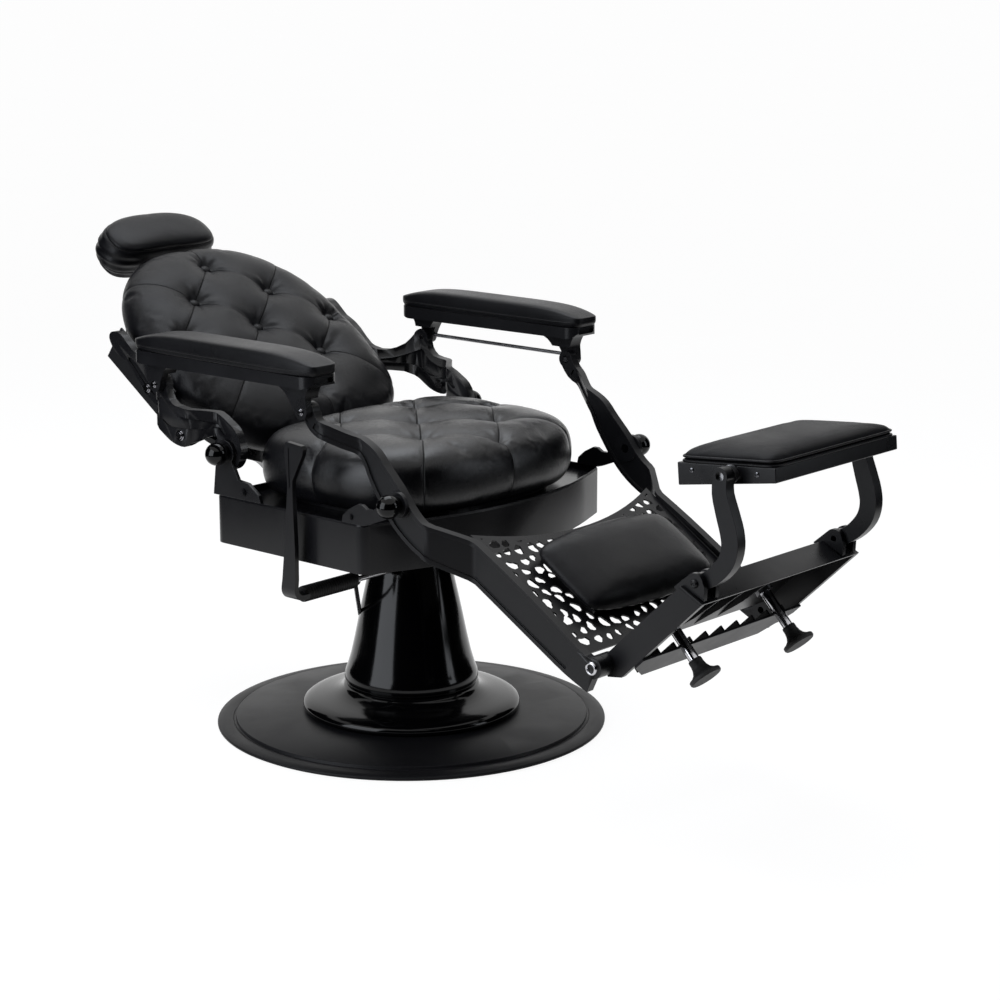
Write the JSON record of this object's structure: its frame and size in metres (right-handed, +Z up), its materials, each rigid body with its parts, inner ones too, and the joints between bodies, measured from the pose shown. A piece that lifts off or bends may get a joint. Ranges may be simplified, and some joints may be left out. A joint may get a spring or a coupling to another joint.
{
  "type": "reclining barber chair",
  "caption": "Reclining barber chair on a round pedestal, with tufted leather back and seat, headrest, linked armrests, pierced leg rest and folding footrest.",
  "frame": {"origin": "centre of the pedestal's foot ring on the floor", "axes": "+Z up, -Y the way the chair faces, +X the sitter's left"},
  "size_m": [0.7458, 1.6344, 0.8632],
  "materials": {
    "leather": "soft semi-gloss leather",
    "satin_black": "satin powder coat",
    "gloss_black": "gloss enamel",
    "chrome": "polished",
    "steel": "turned steel",
    "rubber": "matt",
    "plywood": "plain plywood",
    "back_shell": "grained moulded shell"
  },
  "bodies": {
    "base": {"floor_ring": "rubber", "base_disc": "satin_black", "base_collar": "gloss_black", "lift_cylinder": "steel", "cylinder_bolts": "steel"},
    "lift": {"ram": "steel", "thrust_bearing": "steel"},
    "seat": {"pedestal_cone": "gloss_black", "pump_head": "steel", "mount_plate": "satin_black", "mount_bolts": "steel", "seat_pan": "satin_black", "pan_lid": "satin_black", "seat_board": "plywood", "seat_cushion": "leather", "front_brackets": "satin_black", "rear_brackets": "satin_black", "pivot_knobs": "chrome", "bracket_bolts": "chrome", "sleeve_stay": "chrome"},
    "lever": {"pump_lever": "satin_black", "lever_sleeve": "rubber", "lever_shaft": "steel"},
    "backrest": {"back_casting_left": "satin_black", "back_casting_right": "satin_black", "back_cross_bar": "satin_black", "back_board": "back_shell", "back_cushion": "leather", "back_bolts": "chrome", "headrest_guides": "satin_black"},
    "head_post": {"headrest_post": "chrome"},
    "headrest": {"headrest_bracket": "satin_black", "headrest_board": "back_shell", "headrest_pad": "leather"},
    "armrest_left": {"arm_frame_left": "satin_black", "arm_pad_left": "leather", "tie_rod": "chrome", "arm_screws_left": "chrome"},
    "armrest_right": {"arm_frame_right": "satin_black", "arm_pad_right": "leather", "arm_screws_right": "chrome"},
    "legrest": {"leg_casting_left": "satin_black", "leg_casting_right": "satin_black", "pierced_panel": "satin_black", "calf_board": "plywood", "calf_pad": "leather"},
    "footrest": {"foot_arms": "satin_black", "foot_plate": "satin_black", "under_panel": "satin_black", "foot_posts": "chrome", "rubber_feet": "rubber", "pad_clamps": "satin_black", "foot_screws": "chrome"},
    "pad_swing": {"pad_arms": "satin_black"},
    "pad": {"pad_box": "satin_black", "pad_pins": "steel", "foot_pad": "leather", "pad_screws": "chrome"}
  },
  "joints": [
    {"name": "lift_slide", "type": "slide", "parent": "base", "child": "lift", "axis": [0, 0, 1], "range_m": [0, 0.15]},
    {"name": "seat_swivel", "type": "hinge", "parent": "lift", "child": "seat", "pos_m": [0, 0, 0.33], "axis": [0, 0, 1], "continuous": true},
    {"name": "recline", "type": "hinge", "parent": "seat", "child": "backrest", "pos_m": [0, 0.146, 0.52], "axis": [1, 0, 0], "range_deg": [0, 40]},
    {"name": "arm_left_link", "type": "hinge", "parent": "backrest", "child": "armrest_left", "pos_m": [0.33, 0.272, 0.629], "axis": [1, 0, 0], "range_deg": [-42.5, 0]},
    {"name": "arm_right_link", "type": "hinge", "parent": "backrest", "child": "armrest_right", "pos_m": [-0.33, 0.272, 0.629], "axis": [1, 0, 0], "range_deg": [-42.5, 0]},
    {"name": "leg_link", "type": "hinge", "parent": "seat", "child": "legrest", "pos_m": [0, -0.26, 0.49], "axis": [1, 0, 0], "range_deg": [0, 32.5]},
    {"name": "footrest_fold", "type": "hinge", "parent": "legrest", "child": "footrest", "pos_m": [0, -0.621, 0.274], "axis": [-1, 0, 0], "range_deg": [0, 35]},
    {"name": "pad_arm_swing", "type": "hinge", "parent": "footrest", "child": "pad_swing", "pos_m": [0, -0.786, 0.432], "axis": [1, 0, 0], "range_deg": [0, 45]},
    {"name": "foot_pad_tilt", "type": "hinge", "parent": "pad_swing", "child": "pad", "pos_m": [0, -0.822, 0.601], "axis": [1, 0, 0], "range_deg": [-25, 25]},
    {"name": "headrest_slide", "type": "slide", "parent": "backrest", "child": "head_post", "axis": [0, 0.8192, 0.5736], "range_m": [0, 0.08]},
    {"name": "headrest_tilt", "type": "hinge", "parent": "head_post", "child": "headrest", "pos_m": [0, 0.69216, 0.76234], "axis": [-1, 0, 0], "range_deg": [0, 25]},
    {"name": "pump_stroke", "type": "hinge", "parent": "seat", "child": "lever", "pos_m": [-0.2, -0.027, 0.297], "axis": [1, 0, 0], "range_deg": [-15, 15]}
  ],
  "couplings": [
    {"joint": "arm_left_link", "follows": "recline", "ratio": -1.0538},
    {"joint": "arm_right_link", "follows": "recline", "ratio": -1.0538},
    {"joint": "leg_link", "follows": "recline", "ratio": 0.8075}
  ]
}
